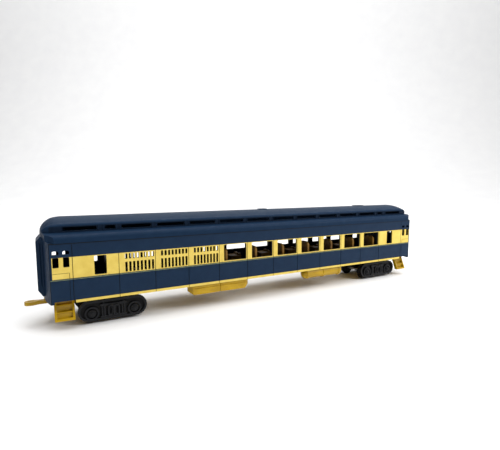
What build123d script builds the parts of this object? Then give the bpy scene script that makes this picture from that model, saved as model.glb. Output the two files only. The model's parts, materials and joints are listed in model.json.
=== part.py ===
from build123d import *
import math
import os

os.makedirs("parts", exist_ok=True)

# HO (1:87) heavyweight passenger coach with a clerestory roof and two four-wheel trucks.
# Frame: X along the coach, Y across it, +Z up. Z = 0 is the plane the wheel flanges stand on,
# and X = Y = 0 is the middle of the coach. All sizes are in millimetres.

NEAR = -1
FAR = 1
LEFT = -1
RIGHT = 1

# Body
body_half_length = 117.4
end_bow = 2.6
body_half_width = 17.3
wall = 1.4
corner_radius = 0.7
end_bottom_z = 13.0
side_bottom_z = 14.2
eave_z = 40.5
end_crown_z = 44.0
sill_strip_half_length = 107.4
sill_strip_half_width = 17.5
belt_z = 23.8
belt_height = 0.6
belt_proud = 0.22
band_top_z = 34.1

# Windows: ten bays at one pitch, three of them barred, plus toilet and vestibule lights
window_pitch = 17.4
bay_count = 10
barred_bays = (0, 1, 2)
window_width = 13.9
window_bottom_z = 24.9
window_top_z = 33.8
window_corner = 0.5
panel_line_shift = 1.1
groove_width = 0.3
groove_depth = 0.25
bar_slot_count = 8
bar_slot_width = 1.1
bar_slot_pitch = 1.82
toilet_x = 96.3
toilet_width = 5.4
door_window_xs = (110.6, 114.9)
door_window_width = 2.5
door_window_z = (29.6, 34.1)
transom_z = (35.4, 37.1)
door_line_x = 108.1
kick_plate_x = (109.4, 116.4)
kick_plate_z = 27.0
belt_half_length = 116.5

# Roof
roof_half_length = 117.9
roof_half_width = 17.7
roof_corner_cut = 2.8
deck_top_z = 44.7
clerestory_half_width = 12.6
clerestory_half_length = 112.0
clerestory_end_run = 8.5
clerestory_wall_top_z = 47.7
clerestory_shoulder_z = 48.85
ridge_z = 51.3
roof_thickness = 1.3
deck_light_z = (45.4, 47.2)
deck_light_width = 14.4

# Underframe and what hangs from it
floor_half_length = 115.9
floor_half_width = 15.8
floor_z = (14.2, 15.8)
truck_x = 90.5
body_screw_x = 101.0
body_screw_y = 14.2
boss_bottom_z = 11.45

# Trucks
wheel_base = 19.9
axle_z = 5.05
flange_radius = 5.05
tread_radius = 4.45
wheel_inner_y = 7.2
flange_thickness = 0.8
wheel_outer_y = 10.0
axle_radius = 0.75
journal_radius = 0.6
journal_clearance = 0.05
frame_inner_y = 10.8
frame_plate_y = 11.8
frame_outer_y = 12.8
frame_half_length = 16.1
frame_z = (1.3, 11.2)
bolster_z = (9.0, 11.3)
kingpin_radius = 1.3
kingpin_clearance = 0.06

# Couplers
coupler_pivot_x = 110.9
coupler_tip_x = 128.4
coupler_z = (9.9, 11.6)
draft_box_bottom_z = 9.1
coupler_pin_radius = 1.0
coupler_pin_top_z = 13.0
coupler_pin_clearance = 0.05
diaphragm_face_x = 122.3
end_door_x = (117.2, 118.0)

# Interior
saloon_floor_z = (17.0, 18.0)
saloon_half_width = 15.4
high_seat_pitch = 18.9
high_seat_count = 7
high_seat_first_x = -30.9
low_seat_pitch = 22.0
low_seat_count = 5
low_seat_first_x = -11.0


def span_box(x, y, z, mode=Mode.ADD):
    """A box between two limits on each axis."""
    middle = ((x[0] + x[1]) / 2, (y[0] + y[1]) / 2, (z[0] + z[1]) / 2)
    with Locations(middle):
        Box(abs(x[1] - x[0]), abs(y[1] - y[0]), abs(z[1] - z[0]), mode=mode)


def upright(radius, x, y, z, mode=Mode.ADD):
    """A cylinder standing along Z between two heights."""
    with Locations((x, y, (z[0] + z[1]) / 2)):
        Cylinder(radius, z[1] - z[0], mode=mode)


def crossways(radius, x, y, z, mode=Mode.ADD):
    """A cylinder lying along Y between two limits."""
    with Locations((x, (y[0] + y[1]) / 2, z)):
        Cylinder(radius, abs(y[1] - y[0]), rotation=(90, 0, 0), mode=mode)


def save(piece, name):
    """Label a finished piece and write its STEP file."""
    piece.part.label = name
    export_step(piece.part, f"parts/{name}.step")


def bay_x(bay):
    """Middle of a window bay."""
    return window_pitch * (bay - (bay_count - 1) / 2)


def pillar_x(index):
    """Middle of the pillar to the left of a bay."""
    return window_pitch * (index - bay_count / 2)


def bowed_outline(corner_x, half_width, bow, base_z):
    """Plan outline with straight sides and both ends bowed outward."""
    with BuildSketch(Plane.XY.offset(base_z)) as outline:
        with BuildLine():
            Line((-corner_x, half_width), (corner_x, half_width))
            ThreePointArc((corner_x, half_width), (corner_x + bow, 0), (corner_x, -half_width))
            Line((corner_x, -half_width), (-corner_x, -half_width))
            ThreePointArc((-corner_x, -half_width), (-corner_x - bow, 0), (-corner_x, half_width))
        make_face()
    return outline.sketch


# ---------------------------------------------------------------- body shell
side_cut_y = 18.2
side_cut_depth = 2.6
inner_x = body_half_length - wall
open_bays = [bay for bay in range(bay_count) if bay not in barred_bays]

with BuildPart() as body_shell:
    outside = bowed_outline(body_half_length, body_half_width, end_bow, end_bottom_z)
    inside = bowed_outline(inner_x, body_half_width - wall, end_bow, end_bottom_z)
    extrude(outside, amount=end_crown_z - end_bottom_z)
    fillet(body_shell.edges().filter_by(Axis.Z), corner_radius)
    extrude(inside, amount=end_crown_z - end_bottom_z, mode=Mode.SUBTRACT)
    # Trim the end walls to their arched crown and the side walls to the eave and the bottom edge
    end_reach = body_half_length + end_bow + 1
    with BuildSketch(Plane.YZ.offset(-end_reach)):
        with BuildLine():
            ThreePointArc(
                (-body_half_width, eave_z), (0, end_crown_z), (body_half_width, eave_z)
            )
            Polyline(
                (body_half_width, eave_z),
                (body_half_width + 1, eave_z),
                (body_half_width + 1, end_crown_z + 1),
                (-body_half_width - 1, end_crown_z + 1),
                (-body_half_width - 1, eave_z),
                (-body_half_width, eave_z),
            )
        make_face()
    extrude(amount=2 * end_reach, mode=Mode.SUBTRACT)
    span_box((-inner_x, inner_x), (-18, 18), (eave_z, end_crown_z + 1), mode=Mode.SUBTRACT)
    span_box((-inner_x, inner_x), (-18, 18), (end_bottom_z - 1, side_bottom_z), mode=Mode.SUBTRACT)
    for side in (NEAR, FAR):
        # Sill strip below the side, and the thin belt moulding under the windows
        strip_y = (side * (sill_strip_half_width - wall), side * sill_strip_half_width)
        strip_x = (-sill_strip_half_length, sill_strip_half_length)
        span_box(strip_x, strip_y, (end_bottom_z, side_bottom_z))
        belt_y = (side * (body_half_width - 0.4), side * (body_half_width + belt_proud))
        span_box((-belt_half_length, belt_half_length), belt_y, (belt_z, belt_z + belt_height))
        # Bosses that the floor is screwed to
        for end in (LEFT, RIGHT):
            upright(2.0, end * body_screw_x, side * body_screw_y, (floor_z[1], 22.0))
            span_box(
                (end * (body_screw_x - 0.6), end * (body_screw_x + 0.6)),
                (side * body_screw_y, side * (body_half_width - wall / 2)),
                (floor_z[1], 22.0),
            )
            upright(0.8, end * body_screw_x, side * body_screw_y, (floor_z[1], 20.5), Mode.SUBTRACT)
        # Window, slot, vestibule and transom openings
        with BuildSketch(Plane.XZ.offset(-side * side_cut_y)):
            window_z = (window_bottom_z + window_top_z) / 2
            window_height = window_top_z - window_bottom_z
            with Locations(*[(bay_x(bay), window_z) for bay in open_bays]):
                RectangleRounded(window_width, window_height, window_corner)
            with Locations((-toilet_x, window_z), (toilet_x, window_z)):
                RectangleRounded(toilet_width, window_height, window_corner)
            with Locations(*[(bay_x(bay), 0) for bay in barred_bays]):
                with GridLocations(bar_slot_pitch, 1, bar_slot_count, 1):
                    with Locations((0, 32.3)):
                        RectangleRounded(bar_slot_width, 2.6, 0.2)
                    with Locations((0, 27.2)):
                        RectangleRounded(bar_slot_width, 4.8, 0.2)
            door_xs = [end * x for end in (LEFT, RIGHT) for x in door_window_xs]
            with Locations(*[(x, sum(door_window_z) / 2) for x in door_xs]):
                RectangleRounded(door_window_width, door_window_z[1] - door_window_z[0], 0.3)
            with Locations(*[(x, sum(transom_z) / 2) for x in door_xs]):
                SlotOverall(door_window_width + 0.3, transom_z[1] - transom_z[0])
            with Locations(*[(x, transom_z[0] + 0.4) for x in door_xs]):
                Rectangle(door_window_width + 0.3, 0.8)
        extrude(amount=side * side_cut_depth, mode=Mode.SUBTRACT)
        # Panel lines: one beside each pillar, the vestibule door's edge and its kick plate
        groove_y = (side * (body_half_width - groove_depth), side * side_cut_y)
        for index in range(bay_count + 1):
            line_x = pillar_x(index) + side * panel_line_shift
            line_span = (line_x - groove_width / 2, line_x + groove_width / 2)
            span_box(line_span, groove_y, (end_bottom_z - 1, band_top_z), mode=Mode.SUBTRACT)
        for end in (LEFT, RIGHT):
            line_span = (end * door_line_x - groove_width / 2, end * door_line_x + groove_width / 2)
            span_box(line_span, groove_y, (side_bottom_z - 1, eave_z - 0.6), mode=Mode.SUBTRACT)
            kick_x = (end * kick_plate_x[0], end * kick_plate_x[1])
            kick_line_z = (kick_plate_z - 0.2, kick_plate_z)
            span_box(kick_x, groove_y, kick_line_z, mode=Mode.SUBTRACT)
            kick_edge_x = (end * kick_plate_x[0], end * (kick_plate_x[0] + 0.2))
            kick_edge_z = (side_bottom_z - 1, kick_plate_z)
            span_box(kick_edge_x, groove_y, kick_edge_z, mode=Mode.SUBTRACT)
    # End walls: corner post line and the gangway doorway
    for end in (LEFT, RIGHT):
        end_cut_x = (end * (body_half_length + 0.2), end * (body_half_length + 1.5))
        for side in (NEAR, FAR):
            post_y = (side * 15.5, side * 15.8)
            span_box(end_cut_x, post_y, (end_bottom_z - 1, 39.6), mode=Mode.SUBTRACT)
        doorway_x = (end * inner_x, end * end_reach)
        span_box(doorway_x, (-4.0, 4.0), (16.0, 37.0), mode=Mode.SUBTRACT)
save(body_shell, "body_shell")


# ---------------------------------------------------------------- roof
def clerestory_outline(x, height_scale, width_scale):
    """Clerestory section at a station along the roof, shrinking towards the ends."""
    base_z = deck_top_z - 0.7

    def level(z):
        return base_z + (z - base_z) * height_scale

    half = clerestory_half_width * width_scale
    with BuildSketch(Plane.YZ.offset(x)) as outline:
        with BuildLine():
            Polyline(
                (half, level(clerestory_wall_top_z)),
                (half, base_z),
                (-half, base_z),
                (-half, level(clerestory_wall_top_z)),
            )
            ThreePointArc(
                (-half, level(clerestory_wall_top_z)),
                (-half + 0.35, level(clerestory_shoulder_z - 0.35)),
                (-half + 1.2, level(clerestory_shoulder_z)),
            )
            ThreePointArc(
                (-half + 1.2, level(clerestory_shoulder_z)),
                (0, level(ridge_z)),
                (half - 1.2, level(clerestory_shoulder_z)),
            )
            ThreePointArc(
                (half - 1.2, level(clerestory_shoulder_z)),
                (half - 0.35, level(clerestory_shoulder_z - 0.35)),
                (half, level(clerestory_wall_top_z)),
            )
        make_face()
    return outline.sketch


end_angles = [0, 20, 38, 54, 68, 80]
deck_light_xs = [bay_x(bay) for bay in range(bay_count)]
short_light_x = 90.75
short_light_half_width = 2.35
end_light_x = 104.0
end_light_width = 14.6
end_post_x = 94.9
roof_edge_z = 42.2
roof_reach = roof_half_length + end_bow
cavity_half_width = clerestory_half_width - roof_thickness

with BuildPart() as roof:
    with BuildSketch(Plane.YZ.offset(-roof_reach)):
        with BuildLine():
            Polyline(
                (-roof_half_width, roof_edge_z),
                (-roof_half_width, eave_z),
                (roof_half_width, eave_z),
                (roof_half_width, roof_edge_z),
            )
            ThreePointArc((roof_half_width, roof_edge_z), (17.05, 43.5), (15.6, 44.15))
            Polyline(
                (15.6, 44.15),
                (clerestory_half_width, deck_top_z),
                (-clerestory_half_width, deck_top_z),
                (-15.6, 44.15),
            )
            ThreePointArc((-15.6, 44.15), (-17.05, 43.5), (-roof_half_width, roof_edge_z))
        make_face()
    extrude(amount=2 * roof_reach)
    extrude(clerestory_outline(-clerestory_half_length, 1, 1), amount=2 * clerestory_half_length)
    for end in (LEFT, RIGHT):
        sections = []
        for angle in end_angles:
            share = math.sin(math.radians(angle))
            station = end * (clerestory_half_length + clerestory_end_run * share)
            height_scale = math.cos(math.radians(angle))
            sections.append(clerestory_outline(station, height_scale, 1 - 0.3 * share**4))
        loft(sections)
    with BuildSketch(Plane.XY.offset(eave_z - 1)) as plan:
        add(bowed_outline(roof_half_length, roof_half_width, end_bow, 0))
        chamfer(plan.vertices(), roof_corner_cut)
    extrude(amount=15, mode=Mode.INTERSECT)
    # Hollow under the lower deck and inside the clerestory
    with BuildSketch(Plane.YZ.offset(-inner_x)):
        with BuildLine():
            Polyline(
                (-16.4, eave_z - 1),
                (16.4, eave_z - 1),
                (16.4, 41.9),
                (15.2, 42.9),
                (cavity_half_width, 43.4),
                (-cavity_half_width, 43.4),
                (-15.2, 42.9),
                (-16.4, 41.9),
                (-16.4, eave_z - 1),
            )
        make_face()
    extrude(amount=2 * inner_x, mode=Mode.SUBTRACT)
    with BuildSketch(Plane.YZ.offset(-clerestory_half_length + 0.2)):
        with BuildLine():
            Polyline(
                (cavity_half_width - 0.7, clerestory_shoulder_z - 1.2),
                (cavity_half_width, clerestory_wall_top_z - 0.4),
                (cavity_half_width, 43.0),
                (-cavity_half_width, 43.0),
                (-cavity_half_width, clerestory_wall_top_z - 0.4),
                (-cavity_half_width + 0.7, clerestory_shoulder_z - 1.2),
            )
            ThreePointArc(
                (-cavity_half_width + 0.7, clerestory_shoulder_z - 1.2),
                (0, ridge_z - roof_thickness),
                (cavity_half_width - 0.7, clerestory_shoulder_z - 1.2),
            )
        make_face()
    extrude(amount=2 * clerestory_half_length - 0.4, mode=Mode.SUBTRACT)
    # The roof ends sit on the arched tops of the end walls
    with BuildSketch(Plane.YZ.offset(-roof_reach - 1)):
        with BuildLine():
            ThreePointArc(
                (-body_half_width, eave_z), (0, end_crown_z), (body_half_width, eave_z)
            )
            Line((body_half_width, eave_z), (-body_half_width, eave_z))
        make_face()
    extrude(amount=2 * roof_reach + 2, mode=Mode.SUBTRACT)
    for side in (NEAR, FAR):
        # Locating rails that drop inside the body sides
        span_box((-115.5, 115.5), (side * 14.5, side * 15.8), (38.6, 43.1))
        # Deck lights with two ribs on each post between them
        light_y = (side * (cavity_half_width - 0.5), side * (clerestory_half_width + 1))
        for light_x in deck_light_xs:
            light_span = (light_x - deck_light_width / 2, light_x + deck_light_width / 2)
            span_box(light_span, light_y, deck_light_z, mode=Mode.SUBTRACT)
        for end in (LEFT, RIGHT):
            half_width = short_light_half_width
            short_span = (end * (short_light_x - half_width), end * (short_light_x + half_width))
            span_box(short_span, light_y, deck_light_z, mode=Mode.SUBTRACT)
            half_width = end_light_width / 2
            end_span = (end * (end_light_x - half_width), end * (end_light_x + half_width))
            span_box(end_span, light_y, deck_light_z, mode=Mode.SUBTRACT)
        post_xs = [pillar_x(index) for index in range(bay_count + 1)]
        post_xs += [-end_post_x, end_post_x]
        for post_x in post_xs:
            for offset_x in (-1.0, 1.0):
                rib_x = (post_x + offset_x - 0.25, post_x + offset_x + 0.25)
                rib_y = (side * (clerestory_half_width - 0.3), side * (clerestory_half_width + 0.25))
                span_box(rib_x, rib_y, (deck_top_z - 0.2, 47.6))
    # Low ventilator hatches on the ridge
    for hatch_x in ((-1.1, 3.6), (78.4, 85.9)):
        span_box(hatch_x, (-1.8, 1.8), (ridge_z - 0.8, ridge_z + 0.35))
save(roof, "roof")


# ---------------------------------------------------------------- underframe
with BuildPart() as underframe:
    floor_plate = bowed_outline(floor_half_length, floor_half_width, end_bow, floor_z[0])
    extrude(floor_plate, amount=floor_z[1] - floor_z[0])
    for end in (LEFT, RIGHT):
        upright(4.5, end * truck_x, 0, (boss_bottom_z, floor_z[0]))
        upright(0.95, end * truck_x, 0, (boss_bottom_z, 15.2), Mode.SUBTRACT)
        for side in (NEAR, FAR):
            upright(1.0, end * body_screw_x, side * body_screw_y, floor_z, Mode.SUBTRACT)
            # Cross bearers between the centre sill and the side
            for bearer_x in (10.0, 63.5):
                bearer_span = (end * bearer_x - 0.6, end * bearer_x + 0.6)
                span_box(bearer_span, (side * 2.8, side * 14.6), (12.4, floor_z[0]))
save(underframe, "underframe")

with BuildPart() as centre_sill:
    with BuildSketch(Plane.XZ.offset(-2.5)):
        with BuildLine():
            Polyline(
                (-73, floor_z[0]),
                (-73, 12.4),
                (-58, 9.6),
                (58, 9.6),
                (73, 12.4),
                (73, floor_z[0]),
                (-73, floor_z[0]),
            )
        make_face()
    extrude(amount=5.0)
save(centre_sill, "centre_sill")


def make_battery_box(side):
    """Battery box hung at one side; the near one is left of the middle."""
    face_y = 16.6
    slab_depth = 3.0
    left_x = -53.1
    right_x = -17.1
    with BuildPart() as box:
        with BuildSketch(Plane.XY.offset(7.9)):
            with BuildLine():
                Polyline(
                    (left_x, -face_y + slab_depth),
                    (left_x, -face_y + 1.6),
                    (left_x + 2.2, -face_y),
                    (right_x - 2.2, -face_y),
                    (right_x, -face_y + 1.6),
                    (right_x, -face_y + slab_depth),
                    (left_x, -face_y + slab_depth),
                )
            make_face()
        extrude(amount=5.0)
        # Lower corners cut away, front panel lines, and the hidden block that carries it
        for corner_x, inward in ((left_x, 1), (right_x, -1)):
            with BuildSketch(Plane.XZ.offset(face_y + 1)):
                with BuildLine():
                    Polyline(
                        (corner_x - inward, 9.9),
                        (corner_x, 9.9),
                        (corner_x + inward * 2.8, 7.9),
                        (corner_x + inward * 2.8, 6.9),
                        (corner_x - inward, 6.9),
                        (corner_x - inward, 9.9),
                    )
                make_face()
            extrude(amount=-slab_depth - 2, mode=Mode.SUBTRACT)
        middle_x = (left_x + right_x) / 2
        groove_y = (-face_y - 1, -face_y + 0.35)
        span_box((left_x + 2.6, right_x - 2.6), groove_y, (11.2, 11.5), mode=Mode.SUBTRACT)
        span_box((middle_x - 0.2, middle_x + 0.2), groove_y, (7, 13), mode=Mode.SUBTRACT)
        span_box((left_x + 9, right_x - 9), (-face_y + slab_depth, -8.0), (9.6, floor_z[0]))
    if side == FAR:
        box.part = box.part.rotate(Axis.Z, 180)
    return box


def make_air_tank(side):
    """Air tank with three straps; the near one is right of the middle."""
    tank_y = -13.3
    tank_z = 10.6
    tank_radius = 3.3
    strap_radius = 3.6
    start_x = 24.9
    length = 27.2
    with BuildPart() as tank:
        with BuildSketch(Plane.XY) as half_section:
            with BuildLine():
                Polyline((start_x, 0), (start_x + length, 0), (start_x + length, tank_radius))
                Line((start_x + length, tank_radius), (start_x, tank_radius))
                ThreePointArc((start_x, tank_radius), (start_x - 1.8, 1.9), (start_x - 2.4, 0))
                Line((start_x - 2.4, 0), (start_x, 0))
            make_face()
        barrel = revolve(half_section.sketch, Axis.X, mode=Mode.PRIVATE)
        add(barrel.moved(Location((0, tank_y, tank_z))))
        for strap_x in (start_x, start_x + 12.6, start_x + length - 1.6):
            with Locations((strap_x + 0.8, tank_y, tank_z)):
                Cylinder(strap_radius, 1.6, rotation=(0, 90, 0))
            span_box((strap_x, strap_x + 1.6), (tank_y - 1.4, tank_y + 1.4), (tank_z, floor_z[0]))
    if side == FAR:
        tank.part = tank.part.rotate(Axis.Z, 180)
    return tank


for side, side_name in ((NEAR, "near"), (FAR, "far")):
    save(make_battery_box(side), f"battery_box_{side_name}")
    save(make_air_tank(side), f"air_tank_{side_name}")


def make_steps(end, side):
    """Vestibule steps: an open-fronted frame that leans outward, with three risers set back in it."""
    top_z = floor_z[0]
    bottom_z = 4.4
    start_x = 107.8
    width = 8.5
    depth = 2.3
    front_top_y = 11.4
    front_bottom_y = 15.6
    frame = 1.0
    with BuildPart() as steps:
        with BuildSketch(Plane.YZ.offset(end * start_x)):
            with BuildLine():
                Polyline(
                    (side * (front_top_y - depth), top_z),
                    (side * front_top_y, top_z),
                    (side * front_bottom_y, bottom_z),
                    (side * (front_bottom_y - depth), bottom_z),
                    (side * (front_top_y - depth), top_z),
                )
            make_face()
        extrude(amount=end * width)
        pocket_x = (end * (start_x + frame), end * (start_x + width - frame))
        for low_z, high_z in ((5.5, 7.9), (8.4, 11.0), (11.5, 13.7)):
            slope = (front_bottom_y - front_top_y) / (top_z - bottom_z)
            riser_y = front_top_y + slope * (top_z - high_z) - 0.7
            span_box(pocket_x, (side * riser_y, side * 18), (low_z, high_z), mode=Mode.SUBTRACT)
    return steps


for end, end_name in ((LEFT, "left"), (RIGHT, "right")):
    for side, side_name in ((NEAR, "near"), (FAR, "far")):
        save(make_steps(end, side), f"steps_{end_name}_{side_name}")

with BuildPart() as body_screws:
    for end in (LEFT, RIGHT):
        for side in (NEAR, FAR):
            screw_x = end * body_screw_x
            screw_y = side * body_screw_y
            upright(1.7, screw_x, screw_y, (13.1, floor_z[0]))
            upright(0.75, screw_x, screw_y, (floor_z[0] - 0.5, 19.8))
            slot_x = (screw_x - 1.2, screw_x + 1.2)
            span_box(slot_x, (screw_y - 0.25, screw_y + 0.25), (12.9, 13.5), mode=Mode.SUBTRACT)
save(body_screws, "body_screws")


# ---------------------------------------------------------------- ends
def make_draft_box(end):
    """Pocket under the end of the floor in which the coupler swings."""
    with BuildPart() as box:
        span_box((end * 107.0, end * 116.3), (-4.0, 4.0), (draft_box_bottom_z, floor_z[0]))
        span_box((end * 116.3, end * 120.2), (-3.2, 3.2), (coupler_z[1] + 0.1, 12.9))
        slot_z = (coupler_z[0] - 0.1, coupler_z[1] + 0.1)
        span_box((end * 109.0, end * 121), (-3.2, 3.2), slot_z, mode=Mode.SUBTRACT)
        pin_hole_z = (draft_box_bottom_z - 0.1, coupler_pin_top_z + 0.1)
        upright(coupler_pin_radius, end * coupler_pivot_x, 0, pin_hole_z, Mode.SUBTRACT)
    return box


def make_coupler(end):
    """Flat coupler bar with an eye on the pivot pin and a rounded, wider head."""
    with BuildPart() as coupler:
        with BuildSketch(Plane.XY.offset(coupler_z[0])):
            with Locations((end * coupler_pivot_x, 0)):
                Circle(1.7)
            with BuildLine():
                Polyline(
                    (end * coupler_pivot_x, -1.4),
                    (end * 122.4, -1.4),
                    (end * 124.7, -2.3),
                    (end * 126.1, -2.4),
                )
                ThreePointArc((end * 126.1, -2.4), (end * coupler_tip_x, 0), (end * 126.1, 2.4))
                Polyline(
                    (end * 126.1, 2.4),
                    (end * 124.7, 2.3),
                    (end * 122.4, 1.4),
                    (end * coupler_pivot_x, 1.4),
                    (end * coupler_pivot_x, -1.4),
                )
            make_face()
            with Locations((end * coupler_pivot_x, 0)):
                Circle(coupler_pin_radius + coupler_pin_clearance, mode=Mode.SUBTRACT)
        extrude(amount=coupler_z[1] - coupler_z[0])
        span_box((end * 124.6, end * 126.8), (-0.5, 0.5), (coupler_z[1] - 0.4, 12), mode=Mode.SUBTRACT)
    return coupler


def make_coupler_pin(end):
    """Shouldered screw that the coupler turns on."""
    with BuildPart() as pin:
        upright(1.8, end * coupler_pivot_x, 0, (draft_box_bottom_z - 0.9, draft_box_bottom_z))
        shank_z = (draft_box_bottom_z, coupler_pin_top_z)
        upright(coupler_pin_radius, end * coupler_pivot_x, 0, shank_z)
        slot_x = (end * coupler_pivot_x - 1.3, end * coupler_pivot_x + 1.3)
        span_box(slot_x, (-0.25, 0.25), (8.0, 8.5), mode=Mode.SUBTRACT)
    return pin


def make_diaphragm(end):
    """Gangway diaphragm: a pleated frame with bevelled top and bottom around the doorway."""
    with BuildPart() as diaphragm:
        with BuildSketch(Plane.XZ.offset(-8.0)):
            with BuildLine():
                Polyline(
                    (end * body_half_length, 15.2),
                    (end * 120.4, 15.2),
                    (end * diaphragm_face_x, 18.2),
                    (end * diaphragm_face_x, 40.6),
                    (end * 120.3, 42.9),
                    (end * body_half_length, 42.9),
                    (end * body_half_length, 15.2),
                )
            make_face()
        extrude(amount=16.0)
        body_outline = bowed_outline(body_half_length, body_half_width, end_bow, end_bottom_z)
        extrude(body_outline, amount=end_crown_z - end_bottom_z, mode=Mode.SUBTRACT)
        passage_x = (end * body_half_length, end * (diaphragm_face_x + 1))
        span_box(passage_x, (-4.6, 4.6), (17.4, 37.4), mode=Mode.SUBTRACT)
        for side in (NEAR, FAR):
            pleat = (end * 120.35, end * 120.65)
            span_box(pleat, (side * 7.6, side * 9), (19.5, 40.0), mode=Mode.SUBTRACT)
    return diaphragm


def make_end_door(end):
    """Gangway door with one window, fixed behind the doorway in the end wall."""
    with BuildPart() as door:
        door_x = (end * end_door_x[0], end * end_door_x[1])
        span_box(door_x, (-4.8, 4.8), (floor_z[1], 38.0))
        through_x = (end * (end_door_x[0] - 1), end * (end_door_x[1] + 1))
        span_box(through_x, (-2.2, 2.2), (29.6, 36.2), mode=Mode.SUBTRACT)
        panel_x = (end * (end_door_x[1] - 0.25), end * (end_door_x[1] + 1))
        span_box(panel_x, (-2.6, 2.6), (17.6, 23.6), mode=Mode.SUBTRACT)
        with Locations((end * (end_door_x[1] + 0.35), -3.3, 24.8)):
            Cylinder(0.35, 0.9, rotation=(0, 90, 0))
    return door


for end, end_name in ((LEFT, "left"), (RIGHT, "right")):
    save(make_draft_box(end), f"draft_box_{end_name}")
    save(make_coupler(end), f"coupler_{end_name}")
    save(make_coupler_pin(end), f"coupler_pin_{end_name}")
    save(make_diaphragm(end), f"diaphragm_{end_name}")
    save(make_end_door(end), f"end_door_{end_name}")


# ---------------------------------------------------------------- trucks
def add_side_frame(centre_x, side):
    """One cast side frame: plate, raised rim, journal boxes, guides, springs and equaliser."""
    plate_depth = frame_plate_y - frame_inner_y
    relief_depth = frame_outer_y - frame_plate_y
    plate_plane = Plane.XZ.offset(-side * frame_inner_y)
    relief_plane = Plane.XZ.offset(-side * frame_plate_y)
    middle = (centre_x, (frame_z[0] + frame_z[1]) / 2)
    height = frame_z[1] - frame_z[0]
    with BuildSketch(plate_plane) as plate:
        with Locations(middle):
            SlotOverall(2 * frame_half_length, height)
    extrude(plate.sketch, amount=-side * plate_depth)
    with BuildSketch(relief_plane) as relief:
        with Locations(middle):
            SlotOverall(2 * frame_half_length, height)
            SlotOverall(2 * frame_half_length - 2.2, height - 2.2, mode=Mode.SUBTRACT)
        for journal_x in (centre_x - wheel_base / 2, centre_x + wheel_base / 2):
            with Locations((journal_x, axle_z)):
                Circle(3.3)
                Circle(2.5, mode=Mode.SUBTRACT)
                Circle(1.5)
        # Bolster guides and the equaliser bar over them
        with Locations(*[(centre_x + x, 6.0) for x in (-5.2, -4.1, 4.1, 5.2)]):
            Rectangle(0.7, 6.6)
        with Locations((centre_x, 8.6)):
            Rectangle(12.4, 1.0)
        with Locations((centre_x, 2.9)):
            Rectangle(12.4, 0.8)
        # Pairs of elliptic springs between the guides
        for spring_x in (-1.5, 1.5):
            with Locations((centre_x + spring_x, 5.6)):
                Ellipse(1.25, 2.6)
                Ellipse(0.6, 1.9, mode=Mode.SUBTRACT)
    extrude(relief.sketch, amount=-side * relief_depth)


def make_truck_frame(end):
    """Truck frame: two side frames joined by the bolster, with bores for journals and kingpin."""
    centre_x = end * truck_x
    with BuildPart() as truck:
        for side in (NEAR, FAR):
            add_side_frame(centre_x, side)
        bolster_y = (-frame_inner_y - 0.3, frame_inner_y + 0.3)
        span_box((centre_x - 3.2, centre_x + 3.2), bolster_y, (bolster_z[0], frame_z[1]))
        upright(4.2, centre_x, 0, bolster_z)
        bore_z = (bolster_z[0] - 1, bolster_z[1] + 1)
        upright(kingpin_radius + kingpin_clearance, centre_x, 0, bore_z, Mode.SUBTRACT)
        for side in (NEAR, FAR):
            for journal_x in (centre_x - wheel_base / 2, centre_x + wheel_base / 2):
                bore_radius = journal_radius + journal_clearance
                bore_y = (side * (frame_inner_y - 1), side * (frame_plate_y + 0.1))
                crossways(bore_radius, journal_x, bore_y, axle_z, Mode.SUBTRACT)
    return truck


def make_kingpin(end):
    """Screw that holds a truck to its boss on the underframe."""
    centre_x = end * truck_x
    with BuildPart() as pin:
        upright(2.4, centre_x, 0, (7.7, bolster_z[0] - 0.15))
        upright(kingpin_radius, centre_x, 0, (bolster_z[0] - 0.15, boss_bottom_z))
        upright(0.9, centre_x, 0, (boss_bottom_z, 15.0))
        slot_x = (centre_x - 1.8, centre_x + 1.8)
        span_box(slot_x, (-0.3, 0.3), (7.5, 8.2), mode=Mode.SUBTRACT)
    return pin


def make_axle(axle_x):
    """Steel axle with a reduced journal at each end."""
    with BuildPart() as axle:
        crossways(axle_radius, axle_x, (-frame_inner_y + 0.5, frame_inner_y - 0.5), axle_z)
        journal_end = frame_plate_y
        crossways(journal_radius, axle_x, (-journal_end, journal_end), axle_z)
    return axle


def make_wheels(axle_x):
    """The two flanged wheels of one axle: tapered tread, flange, dished face and hub."""
    with BuildPart() as wheels:
        for side in (NEAR, FAR):
            with BuildSketch(Plane.XY) as profile:
                with BuildLine():
                    Polyline(
                        (axle_radius, wheel_inner_y),
                        (flange_radius - 0.25, wheel_inner_y),
                        (flange_radius, wheel_inner_y + 0.3),
                        (flange_radius, wheel_inner_y + 0.5),
                        (tread_radius + 0.1, wheel_inner_y + flange_thickness),
                        (tread_radius, wheel_outer_y),
                        (tread_radius - 0.8, wheel_outer_y),
                        (tread_radius - 1.1, wheel_outer_y - 0.6),
                        (1.9, wheel_outer_y - 0.6),
                        (1.6, wheel_outer_y),
                        (axle_radius, wheel_outer_y),
                        (axle_radius, wheel_inner_y),
                    )
                make_face()
            wheel_solid = revolve(profile.sketch, Axis.Y, mode=Mode.PRIVATE)
            if side == NEAR:
                wheel_solid = wheel_solid.mirror(Plane.XZ)
            add(wheel_solid.moved(Location((axle_x, 0, axle_z))))
    return wheels


axle_number = 0
for end, end_name in ((LEFT, "left"), (RIGHT, "right")):
    save(make_truck_frame(end), f"truck_frame_{end_name}")
    save(make_kingpin(end), f"kingpin_{end_name}")
    for offset in (-wheel_base / 2, wheel_base / 2):
        axle_number += 1
        save(make_axle(end * truck_x + offset), f"axle_{axle_number}")
        save(make_wheels(end * truck_x + offset), f"wheels_{axle_number}")


# ---------------------------------------------------------------- interior
with BuildPart() as ballast_weight:
    span_box((-75, 75), (-12, 12), (floor_z[1], saloon_floor_z[0]))
save(ballast_weight, "ballast_weight")

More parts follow.
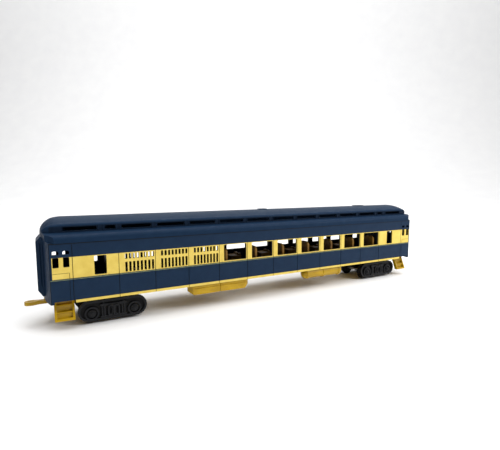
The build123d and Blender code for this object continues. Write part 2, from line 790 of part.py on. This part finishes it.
with BuildPart() as saloon_floor:
    span_box((-91.7, 91.7), (-saloon_half_width, saloon_half_width), saloon_floor_z)
save(saloon_floor, "saloon_floor")

with BuildPart() as bulkheads:
    for bulkhead_x in (-90.3, -38.0):
        bulkhead_span = (bulkhead_x - 0.5, bulkhead_x + 0.5)
        span_box(bulkhead_span, (-15.2, 15.2), (saloon_floor_z[1], 38.3))
        span_box(
            (bulkhead_x - 2, bulkhead_x + 2), (-3.4, 3.4), (17, 36.0), mode=Mode.SUBTRACT
        )
    # A screen on one side only, as the far toilet light shows past its end
    span_box((88.8, 89.8), (-15.2, -3.4), (saloon_floor_z[1], 38.3))
save(bulkheads, "bulkheads")

with BuildPart() as galley_units:
    for unit_x, unit_top_z in (((-86.0, -75.0), 25.5), ((-62.0, -41.0), 34.0)):
        span_box(unit_x, (8.6, 15.2), (saloon_floor_z[1], unit_top_z))
    span_box((-84.0, -43.0), (-15.0, -9.4), (saloon_floor_z[1], 25.0))
save(galley_units, "galley_units")


def add_seat(seat_x, side, top_z, lobe_count):
    """A bench seat for two: pedestal, cushion and a back that ends in one or two round lobes."""
    wall_y = 15.1
    aisle_y = 6.8
    middle_y = side * (wall_y + aisle_y) / 2
    base_z = saloon_floor_z[1]
    span_box((seat_x - 5.2, seat_x - 1.0), (side * 8, side * 14), (base_z, 20.2))
    span_box((seat_x - 6.2, seat_x - 0.2), (side * aisle_y, side * wall_y), (20.2, 22.2))
    lobe_width = (wall_y - aisle_y) / lobe_count
    lobe_height = min(5.4, lobe_width * 0.9)
    with BuildSketch(Plane.YZ.offset(seat_x - 0.4)) as back:
        with Locations((middle_y, 20.2)):
            back_height = top_z - lobe_height / 2 - 20.2
            Rectangle(wall_y - aisle_y, back_height, align=(Align.CENTER, Align.MIN))
        for lobe in range(lobe_count):
            lobe_y = middle_y + (lobe - (lobe_count - 1) / 2) * lobe_width
            with Locations((lobe_y, top_z - lobe_height / 2)):
                SlotOverall(lobe_width, lobe_height)
    extrude(back.sketch, amount=1.6)


with BuildPart() as high_back_seats:
    for index in range(high_seat_count):
        add_seat(high_seat_first_x + index * high_seat_pitch, NEAR, 31.0, 1)
save(high_back_seats, "high_back_seats")

with BuildPart() as low_back_seats:
    for index in range(low_seat_count):
        add_seat(low_seat_first_x + index * low_seat_pitch, FAR, 23.4, 2)
save(low_back_seats, "low_back_seats")
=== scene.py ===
import json
import math

import bmesh
import bpy
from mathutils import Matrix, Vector


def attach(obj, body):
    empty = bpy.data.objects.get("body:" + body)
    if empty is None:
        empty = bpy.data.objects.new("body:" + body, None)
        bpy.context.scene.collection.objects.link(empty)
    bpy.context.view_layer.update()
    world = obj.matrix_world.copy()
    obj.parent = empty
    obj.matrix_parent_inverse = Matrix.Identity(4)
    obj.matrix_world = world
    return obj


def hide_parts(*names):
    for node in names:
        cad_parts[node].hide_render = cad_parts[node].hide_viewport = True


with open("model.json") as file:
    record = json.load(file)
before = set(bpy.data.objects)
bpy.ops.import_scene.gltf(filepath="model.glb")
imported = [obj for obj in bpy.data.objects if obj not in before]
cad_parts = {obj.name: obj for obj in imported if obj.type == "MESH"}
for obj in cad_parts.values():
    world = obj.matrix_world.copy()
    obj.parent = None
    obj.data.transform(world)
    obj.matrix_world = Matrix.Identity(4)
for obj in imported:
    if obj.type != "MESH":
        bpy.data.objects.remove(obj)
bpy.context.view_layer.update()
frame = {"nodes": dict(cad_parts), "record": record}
nodes = frame["nodes"]
MM = 0.001


# ---------------------------------------------------------------- shader helpers
class Graph:
    """Adds shader nodes to one material and links them."""

    def __init__(self, name):
        self.material = bpy.data.materials.new(name)
        self.material.use_nodes = True
        self.tree = self.material.node_tree
        self.tree.nodes.clear()
        self.bsdf = self.add("ShaderNodeBsdfPrincipled")
        output = self.add("ShaderNodeOutputMaterial")
        self.tree.links.new(self.bsdf.outputs["BSDF"], output.inputs["Surface"])
        place = self.add("ShaderNodeTexCoord").outputs["Object"]
        scale = self.add("ShaderNodeVectorMath")
        scale.operation = "SCALE"
        scale.inputs["Scale"].default_value = 1 / MM
        self.tree.links.new(place, scale.inputs[0])
        self.place = scale.outputs[0]
        split = self.add("ShaderNodeSeparateXYZ")
        self.tree.links.new(self.place, split.inputs[0])
        self.x, self.y, self.z = split.outputs

    def add(self, kind):
        return self.tree.nodes.new(kind)

    def feed(self, value, socket):
        """Link an output to a socket, or set the socket to a number."""
        if isinstance(value, bpy.types.NodeSocket):
            self.tree.links.new(value, socket)
        else:
            socket.default_value = value

    def math(self, operation, first, second=0.0, clamp=False):
        step = self.add("ShaderNodeMath")
        step.operation = operation
        step.use_clamp = clamp
        self.feed(first, step.inputs[0])
        self.feed(second, step.inputs[1])
        return step.outputs[0]

    def above(self, value, limit, soft=0.05):
        """0 below a limit and 1 above it, across a narrow soft edge."""
        ramp = self.add("ShaderNodeMapRange")
        self.feed(value, ramp.inputs["Value"])
        ramp.inputs["From Min"].default_value = limit - soft
        ramp.inputs["From Max"].default_value = limit + soft
        return ramp.outputs[0]

    def below(self, value, limit, soft=0.05):
        return self.math("SUBTRACT", 1.0, self.above(value, limit, soft))

    def between(self, value, low, high, soft=0.05):
        inside = self.math("SUBTRACT", self.above(value, low, soft), self.above(value, high, soft))
        return self.math("MAXIMUM", inside, 0.0)

    def both(self, first, second):
        return self.math("MULTIPLY", first, second)

    def noise(self, scale, detail=3.0, rough=0.55, stretch=None):
        """Noise whose grain is given in features per millimetre."""
        grain = self.add("ShaderNodeTexNoise")
        grain.inputs["Scale"].default_value = scale
        grain.inputs["Detail"].default_value = detail
        grain.inputs["Roughness"].default_value = rough
        place = self.place
        if stretch:
            mapping = self.add("ShaderNodeMapping")
            mapping.inputs["Scale"].default_value = stretch
            self.feed(place, mapping.inputs["Vector"])
            place = mapping.outputs[0]
        self.feed(place, grain.inputs["Vector"])
        return grain.outputs[0]

    def spread(self, value, low, high, from_low=0.3, from_high=0.7):
        """Stretch a noise value over a new range."""
        ramp = self.add("ShaderNodeMapRange")
        self.feed(value, ramp.inputs["Value"])
        ramp.inputs["From Min"].default_value = from_low
        ramp.inputs["From Max"].default_value = from_high
        ramp.inputs["To Min"].default_value = low
        ramp.inputs["To Max"].default_value = high
        return ramp.outputs[0]

    def mix(self, amount, first, second):
        """Mix two colours."""
        blend = self.add("ShaderNodeMix")
        blend.data_type = "RGBA"
        self.feed(amount, blend.inputs[0])
        self.feed(first, blend.inputs[6])
        self.feed(second, blend.inputs[7])
        return blend.outputs[2]

    def finish(self, color, roughness, bump=None, bump_height=0.02, **fixed):
        """Wire colour, roughness and bump (height in millimetres) into the surface."""
        self.feed(color, self.bsdf.inputs["Base Color"])
        self.feed(roughness, self.bsdf.inputs["Roughness"])
        for name, value in fixed.items():
            self.bsdf.inputs[name.replace("_", " ")].default_value = value
        if bump is not None:
            relief = self.add("ShaderNodeBump")
            relief.inputs["Strength"].default_value = 1.0
            relief.inputs["Distance"].default_value = bump_height * MM
            self.feed(bump, relief.inputs["Height"])
            self.feed(relief.outputs[0], self.bsdf.inputs["Normal"])
        return self.material


def rgb(red, green, blue):
    """A colour given in sRGB 0-255, as linear light."""

    def linear(level):
        level /= 255
        return level / 12.92 if level <= 0.04045 else ((level + 0.055) / 1.055) ** 2.4

    return (linear(red), linear(green), linear(blue), 1.0)


# ---------------------------------------------------------------- materials
NAVY = rgb(14, 35, 58)
NAVY_WORN = rgb(23, 46, 70)
NAVY_DARK = rgb(5, 12, 24)
YELLOW = rgb(222, 197, 100)
YELLOW_DEEP = rgb(208, 180, 84)
REVEAL_SHADE = rgb(96, 82, 22)
MUSTARD = rgb(186, 149, 5)
MUSTARD_DEEP = rgb(156, 122, 3)
BLACK = rgb(7, 7, 9)
BLACK_DUSTY = rgb(18, 18, 19)
BELT_HIGHLIGHT_AND_WEAR = rgb(140, 152, 112)
SEAM_SHADE = rgb(14, 16, 14)
ROOF_TOP_LIGHT = rgb(60, 70, 80)
CASTING_HIGHLIGHT = rgb(42, 43, 46)
CASTING_RECESS_SHADE = rgb(4, 4, 5)
STEEL_MARK = rgb(120, 118, 114)

# Places on the coach, in millimetres from the frame's origin
SIDE_SKIN_Y = 17.02
BAND_Z = (24.4, 34.1)
BAND_END_X = 116.45
SILL_TOP_Z = 14.22
SILL_END_X = 107.45
BELT_EDGE_Z = (23.78, 24.1)
EAVE_JOINT_Z = (40.05, 40.6)


def body_paint():
    """Navy body with a pale yellow window band and sill strip, and navy inside."""
    g = Graph("body_paint")
    across = g.math("ABSOLUTE", g.y)
    along = g.math("ABSOLUTE", g.x)
    wobble = g.math("MULTIPLY", g.math("SUBTRACT", g.noise(1.4), 0.5), 0.12)
    edge_z = g.math("ADD", g.z, wobble)
    outside = g.above(across, SIDE_SKIN_Y, 0.02)
    reveal = g.both(g.above(across, 16.4, 0.25), g.below(across, SIDE_SKIN_Y, 0.02))
    inside = g.below(across, 15.95, 0.02)
    band = g.both(g.between(edge_z, *BAND_Z), g.below(along, BAND_END_X))
    strip = g.both(g.below(g.z, SILL_TOP_Z, 0.02), g.below(along, SILL_END_X, 0.02))
    yellow = g.both(outside, g.math("MAXIMUM", band, strip))
    mottle = g.spread(g.noise(0.22, 4.0), 0.0, 1.0)
    speck = g.spread(g.noise(2.6, 2.0), 0.0, 0.25, 0.62, 0.72)
    navy = g.mix(g.math("MAXIMUM", g.math("MULTIPLY", mottle, 0.35), speck), NAVY, NAVY_WORN)
    # The belt moulding's top edge is painted pale: a painted highlight where it catches the light,
    # partly rubbed paint
    belt = g.both(outside, g.between(g.z, *BELT_EDGE_Z, 0.06))
    highlight_and_rub = g.math("MULTIPLY", belt, g.spread(g.noise(0.9, 3.0), 0.4, 0.85))
    navy = g.mix(highlight_and_rub, navy, BELT_HIGHLIGHT_AND_WEAR)
    cream = g.mix(mottle, YELLOW, YELLOW_DEEP)
    # Cut edges of the window openings get a dull olive painted shade, and the inside stays dark
    painted_reveal_shade = g.both(reveal, g.both(g.between(g.z, 24.3, 33.9), g.below(along, BAND_END_X)))
    color = g.mix(g.both(inside, g.below(along, 116.0)), navy, NAVY_DARK)
    color = g.mix(painted_reveal_shade, color, REVEAL_SHADE)
    color = g.mix(yellow, color, cream)
    # Painted shade in the panel lines and a painted shadow along the joint under the eaves
    groove = g.both(g.above(across, 16.98, 0.01), g.below(across, 17.2, 0.02))
    eave_shadow = g.both(g.above(across, 16.98, 0.01), g.between(g.z, *EAVE_JOINT_Z, 0.1))
    painted_seam_shade = g.math("MULTIPLY", g.math("MAXIMUM", groove, eave_shadow), 0.8)
    color = g.mix(painted_seam_shade, color, SEAM_SHADE)
    roughness = g.spread(g.noise(0.6, 4.0), 0.42, 0.56)
    return g.finish(color, roughness, g.noise(3.2, 3.0), 0.012, Specular_IOR_Level=0.12)


def roof_paint():
    """Navy roof paint, painted paler along the top as painted top light."""
    g = Graph("roof_paint")
    mottle = g.spread(g.noise(0.18, 4.0), 0.0, 0.4)
    # Painted top light: the roof is paler towards the ridge, in noisy patches
    pale_patches = g.both(g.above(g.z, 49.6, 1.4), g.spread(g.noise(0.5, 5.0), 0.1, 0.45))
    color = g.mix(mottle, NAVY, NAVY_WORN)
    color = g.mix(pale_patches, color, ROOF_TOP_LIGHT)
    across = g.math("ABSOLUTE", g.y)
    # Painted shade darkens the clerestory side walls under the roof's overhang
    clerestory_wall_shade = g.both(g.between(across, 12.2, 12.9, 0.1), g.between(g.z, 44.8, 47.6, 0.25))
    color = g.mix(g.math("MULTIPLY", clerestory_wall_shade, 0.6), color, NAVY_DARK)
    roughness = g.spread(g.noise(0.5, 4.0), 0.48, 0.62)
    return g.finish(color, roughness, g.noise(2.6, 3.0), 0.014, Specular_IOR_Level=0.08)


def mustard_plastic(name, pale, deep, rough_low, rough_high):
    """Moulded mustard plastic with faint flow marks."""
    g = Graph(name)
    flow = g.spread(g.noise(0.25, 4.0, 0.6, (0.5, 1.0, 1.6)), 0.0, 1.0)
    fine = g.spread(g.noise(2.4, 2.0), 0.0, 0.2, 0.55, 0.75)
    color = g.mix(flow, pale, deep)
    color = g.mix(fine, color, deep)
    roughness = g.spread(g.noise(0.9, 3.0), rough_low, rough_high)
    return g.finish(color, roughness, g.noise(2.0, 3.0), 0.012, Specular_IOR_Level=0.3)


def black_plastic():
    """Satin black truck plastic with patchy dust, a painted highlight on the outer faces and painted
    shade in the recesses.
    """
    g = Graph("truck_black")
    pale_patches = g.spread(g.noise(0.45, 5.0, 0.65), 0.0, 0.8, 0.42, 0.72)
    color = g.mix(pale_patches, BLACK, BLACK_DUSTY)
    across = g.math("ABSOLUTE", g.y)
    # Painted highlight on the outer faces of the side frames and painted shade in the recesses
    # behind them
    color = g.mix(g.both(g.above(across, 12.6), 0.5), color, CASTING_HIGHLIGHT)
    recess_shade = g.both(g.above(across, 11.5), g.below(across, 12.1, 0.2))
    color = g.mix(recess_shade, color, CASTING_RECESS_SHADE)
    roughness = g.spread(g.noise(1.1, 4.0), 0.36, 0.54)
    return g.finish(color, roughness, g.noise(1.8, 4.0), 0.03, Specular_IOR_Level=0.14)


def wheel_black():
    """Black wheel with patchy dust."""
    g = Graph("wheel_black")
    return g.finish(
        g.mix(g.spread(g.noise(0.7, 4.0), 0.0, 0.6), BLACK, BLACK_DUSTY),
        g.spread(g.noise(1.4, 3.0), 0.28, 0.5),
        g.noise(1.8, 3.0),
        0.02,
        Specular_IOR_Level=0.2,
    )


def steel(name, base, rough_low, rough_high, stretch):
    """Turned or rolled steel with fine directional marks."""
    g = Graph(name)
    marks = g.noise(2.2, 5.0, 0.7, stretch)
    color = g.mix(g.spread(marks, 0.0, 1.0), base, STEEL_MARK)
    roughness = g.spread(g.noise(1.3, 3.0), rough_low, rough_high)
    return g.finish(color, roughness, marks, 0.01, Metallic=1.0)


finishes = {
    "body_paint": body_paint(),
    "roof_paint": roof_paint(),
    "mustard_plastic": mustard_plastic("mustard_plastic", MUSTARD, MUSTARD_DEEP, 0.26, 0.42),
    # The interior is the same mustard plastic, given darker brown colours as painted shade inside
    # the car
    "interior_plastic": mustard_plastic(
        "interior_plastic", rgb(128, 92, 14), rgb(84, 56, 10), 0.45, 0.6
    ),
    "truck_black": black_plastic(),
    "wheel_black": wheel_black(),
    "axle_steel": steel("axle_steel", rgb(190, 190, 192), 0.22, 0.4, (1.0, 0.1, 1.0)),
    "screw_steel": steel("screw_steel", rgb(176, 174, 168), 0.28, 0.45, (1.0, 1.0, 0.3)),
    "ballast_steel": steel("ballast_steel", rgb(132, 130, 128), 0.4, 0.6, (0.1, 1.0, 1.0)),
}
slot_of = {part["node"]: part["material_slot"] for part in frame["record"]["subparts"]}
bodies = frame["record"]["behaviour"]["bodies"]
body_of = {node: body for body, members in bodies.items() for node in members}


def dress(obj, slot_name):
    """Give an object one finish."""
    obj.data.materials.clear()
    obj.data.materials.append(finishes[slot_name])


for name, obj in nodes.items():
    dress(obj, slot_of[name])


# ---------------------------------------------------------------- rounded copies of moulded parts
def soften(name, width, segments=2, angle=28.0):
    """A copy of a CAD node with its sharp edges rounded, standing for the node."""
    source = nodes[name]
    mesh = source.data.copy()
    work = bmesh.new()
    work.from_mesh(mesh)
    bmesh.ops.remove_doubles(work, verts=work.verts, dist=0.004 * MM)
    bmesh.ops.dissolve_limit(
        work,
        angle_limit=math.radians(0.6),
        verts=work.verts,
        edges=work.edges,
        delimit={"NORMAL"},
    )
    for face in work.faces:
        face.smooth = True
    work.to_mesh(mesh)
    work.free()
    piece = bpy.data.objects.new(f"{name}_moulded", mesh)
    bpy.context.scene.collection.objects.link(piece)
    if mesh.has_custom_normals:
        bpy.context.view_layer.objects.active = piece
        bpy.ops.mesh.customdata_custom_splitnormals_clear()
    bevel = piece.modifiers.new("rounded_edges", "BEVEL")
    bevel.width = width * MM
    bevel.segments = segments
    bevel.limit_method = "ANGLE"
    bevel.angle_limit = math.radians(angle)
    bevel.harden_normals = False
    normals = piece.modifiers.new("weighted_normals", "WEIGHTED_NORMAL")
    normals.keep_sharp = False
    dress(piece, slot_of[name])
    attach(piece, body_of[name])
    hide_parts(name)
    return piece


EDGE_ROUND = {
    "body_shell": 0.12,
    "roof": 0.3,
    "underframe": 0.15,
    "centre_sill": 0.2,
    "saloon_floor": 0.1,
    "bulkheads": 0.15,
    "galley_units": 0.3,
}
for family, width in (
    ("battery_box", 0.3),
    ("air_tank", 0.2),
    ("steps", 0.18),
    ("draft_box", 0.2),
    ("coupler_left", 0.3),
    ("coupler_right", 0.3),
    ("diaphragm", 0.3),
    ("end_door", 0.12),
    ("truck_frame", 0.16),
    ("high_back_seats", 0.45),
    ("low_back_seats", 0.45),
):
    for name in nodes:
        if name.startswith(family):
            EDGE_ROUND[name] = width
for name in sorted(EDGE_ROUND):
    soften(name, EDGE_ROUND[name])


# ---------------------------------------------------------------- cast detail on the trucks
def add_prism(work, outline, low_y, high_y):
    """Extrude an outline of (x, z) points in millimetres between two y limits."""
    rings = []
    for y in (low_y, high_y):
        rings.append([work.verts.new((x * MM, y * MM, z * MM)) for x, z in outline])
    count = len(outline)
    work.faces.new(rings[0])
    work.faces.new(rings[1][::-1])
    for index in range(count):
        after = (index + 1) % count
        work.faces.new((rings[0][after], rings[0][index], rings[1][index], rings[1][after]))


def add_tube(work, path, radius, sides=8):
    """Sweep a round section along a path of points in millimetres."""
    points = [Vector(point) * MM for point in path]
    rings = []
    for index, point in enumerate(points):
        before = points[max(index - 1, 0)]
        after = points[min(index + 1, len(points) - 1)]
        along = (after - before).normalized()
        across = along.cross(Vector((0, 1, 0.1))).normalized()
        upward = across.cross(along)
        ring = []
        for side in range(sides):
            angle = 2 * math.pi * side / sides
            spoke = across * math.cos(angle) + upward * math.sin(angle)
            ring.append(work.verts.new(point + spoke * radius * MM))
        rings.append(ring)
    for low, high in zip(rings, rings[1:]):
        for side in range(sides):
            after = (side + 1) % sides
            work.faces.new((low[side], low[after], high[after], high[side]))
    work.faces.new(rings[0][::-1])
    work.faces.new(rings[-1])


def rounded_outline(middle_x, middle_z, width, height, corner, steps=4):
    """Points of a rounded rectangle, anticlockwise in x and z."""
    points = []
    corners = ((1, 1, 0), (-1, 1, 90), (-1, -1, 180), (1, -1, 270))
    for sign_x, sign_z, start in corners:
        corner_x = middle_x + sign_x * (width / 2 - corner)
        corner_z = middle_z + sign_z * (height / 2 - corner)
        for step in range(steps + 1):
            angle = math.radians(start + 90 * step / steps)
            points.append((corner_x + corner * math.cos(angle), corner_z + corner * math.sin(angle)))
    return points


def finish_piece(work, name, slot_name, body, bevel_width):
    """Turn bmesh work into a shaded piece that rides on a body."""
    bmesh.ops.recalc_face_normals(work, faces=work.faces)
    for face in work.faces:
        face.smooth = True
    mesh = bpy.data.meshes.new(name)
    work.to_mesh(mesh)
    work.free()
    piece = bpy.data.objects.new(name, mesh)
    bpy.context.scene.collection.objects.link(piece)
    bevel = piece.modifiers.new("rounded_edges", "BEVEL")
    bevel.width = bevel_width * MM
    bevel.segments = 2
    bevel.limit_method = "ANGLE"
    bevel.angle_limit = math.radians(40)
    piece.modifiers.new("weighted_normals", "WEIGHTED_NORMAL")
    dress(piece, slot_name)
    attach(piece, body)
    return piece


TRUCK_X = 90.5
WHEEL_BASE = 19.9
AXLE_Z = 5.05
HOOP_Y = 12.9
HOOP_RADIUS = 1.2
HOOP_FOOT_Z = 3.2
HOOP_CENTRE_Z = 7.0
HOOP_STEPS = 12
RIVET_Z = 9.7


def truck_trim(end_name, centre_x):
    """Journal bosses, spring hoops and rivet heads on both side frames."""
    work = bmesh.new()
    for side in (-1, 1):
        face_y = side * 12.2
        for journal_x in (centre_x - WHEEL_BASE / 2, centre_x + WHEEL_BASE / 2):
            boss = rounded_outline(journal_x, AXLE_Z, 3.6, 3.6, 1.79, 8)
            add_prism(work, boss, face_y, side * 12.95)
            hub = rounded_outline(journal_x, AXLE_Z, 2.1, 2.1, 1.04, 8)
            add_prism(work, hub, side * 12.9, side * 13.55)
            pip = rounded_outline(journal_x, AXLE_Z, 0.9, 0.9, 0.44, 6)
            add_prism(work, pip, side * 13.5, side * 13.85)
        # Two hoops over the springs, side by side like a letter m
        for hoop_x in (centre_x - 1.25, centre_x + 1.25):
            hoop_y = side * HOOP_Y
            hoop = [(hoop_x - HOOP_RADIUS, hoop_y, HOOP_FOOT_Z)]
            for step in range(HOOP_STEPS + 1):
                angle = math.pi * (1 - step / HOOP_STEPS)
                top_x = hoop_x + HOOP_RADIUS * math.cos(angle)
                hoop.append((top_x, hoop_y, HOOP_CENTRE_Z + HOOP_RADIUS * math.sin(angle)))
            hoop.append((hoop_x + HOOP_RADIUS, hoop_y, HOOP_FOOT_Z))
            add_tube(work, hoop, 0.42, 10)
        for rivet_x in (-13.2, -4.65, 4.65, 13.2):
            head = rounded_outline(centre_x + rivet_x, RIVET_Z, 0.7, 0.7, 0.34, 3)
            add_prism(work, head, side * 12.6, side * 13.05)
    finish_piece(work, f"truck_{end_name}_castings", "truck_black", f"truck_{end_name}", 0.12)


for end_name, centre_x in (("left", -TRUCK_X), ("right", TRUCK_X)):
    truck_trim(end_name, centre_x)


# ---------------------------------------------------------------- stage, light and camera
VIEW_YAW = math.radians(28.98)


def make_floor():
    """Large pale floor under the flanges, swept up behind the coach into a pale wall."""
    mesh = bpy.data.meshes.new("studio_floor")
    work = bmesh.new()
    half = 4.0
    bend_y = 0.9
    bend_radius = 0.8
    profile = [(-half, 0.0), (bend_y, 0.0)]
    for step in range(1, 13):
        angle = math.radians(90) * step / 12
        wall_y = bend_y + bend_radius * math.sin(angle)
        profile.append((wall_y, bend_radius * (1 - math.cos(angle))))
    profile.append((bend_y + bend_radius, half))
    rows = []
    for y, z in profile:
        rows.append((work.verts.new((-half, y, z)), work.verts.new((half, y, z))))
    for low, high in zip(rows, rows[1:]):
        face = work.faces.new((low[0], low[1], high[1], high[0]))
        face.smooth = True
    work.to_mesh(mesh)
    work.free()
    floor = bpy.data.objects.new("studio_floor", mesh)
    bpy.context.scene.collection.objects.link(floor)
    floor.rotation_euler.z = -VIEW_YAW
    g = Graph("studio_floor")
    grain = g.spread(g.noise(0.02, 3.0), 0.0, 1.0)
    color = g.mix(grain, (0.86, 0.86, 0.86, 1.0), (0.83, 0.83, 0.835, 1.0))
    floor.data.materials.append(g.finish(color, g.spread(grain, 0.6, 0.7, 0.0, 1.0)))


def studio(right, ahead, height):
    """A place in metres, measured to the right of and ahead along the viewing direction."""
    x = right * math.cos(VIEW_YAW) + ahead * math.sin(VIEW_YAW)
    y = ahead * math.cos(VIEW_YAW) - right * math.sin(VIEW_YAW)
    return (x, y, height)


def add_light(name, place, target, size, power):
    """Square soft white light aimed at a point; places in metres."""
    data = bpy.data.lights.new(name, "AREA")
    data.shape = "SQUARE"
    data.size = size
    data.energy = power
    light = bpy.data.objects.new(name, data)
    light.location = place
    aim = Vector(target) - Vector(place)
    light.rotation_euler = aim.to_track_quat("-Z", "Y").to_euler()
    bpy.context.scene.collection.objects.link(light)


def make_world(strength):
    world = bpy.data.worlds.new("studio")
    world.use_nodes = True
    background = world.node_tree.nodes["Background"]
    background.inputs["Color"].default_value = (1.0, 1.0, 1.0, 1.0)
    background.inputs["Strength"].default_value = strength
    bpy.context.scene.world = world


def make_camera():
    """Camera at the photograph's viewing angle, left of and in front of the coach."""
    data = bpy.data.cameras.new("camera")
    data.lens = 27.22
    data.sensor_width = 36.0
    data.clip_start = 0.01
    camera = bpy.data.objects.new("camera", data)
    camera.location = (-119.3 * MM, -202.2 * MM, 66.1 * MM)
    camera.rotation_euler = (math.radians(90 - 6.01), 0.0, -VIEW_YAW)
    bpy.context.scene.collection.objects.link(camera)
    bpy.context.scene.camera = camera


make_floor()
make_world(0.12)
add_light("right", (0.34, -0.34, 0.3), (0.08, 0, 0.02), 0.25, 2.0)
add_light("top", studio(0.0, 0.4, 1.3), studio(0, 0.3, 0), 1.2, 7.0)
add_light("backdrop", studio(0, 0.1, 2.2), studio(0, 1.7, 0.6), 3.0, 68.0)
make_camera()
bpy.context.scene.view_settings.view_transform = "Standard"
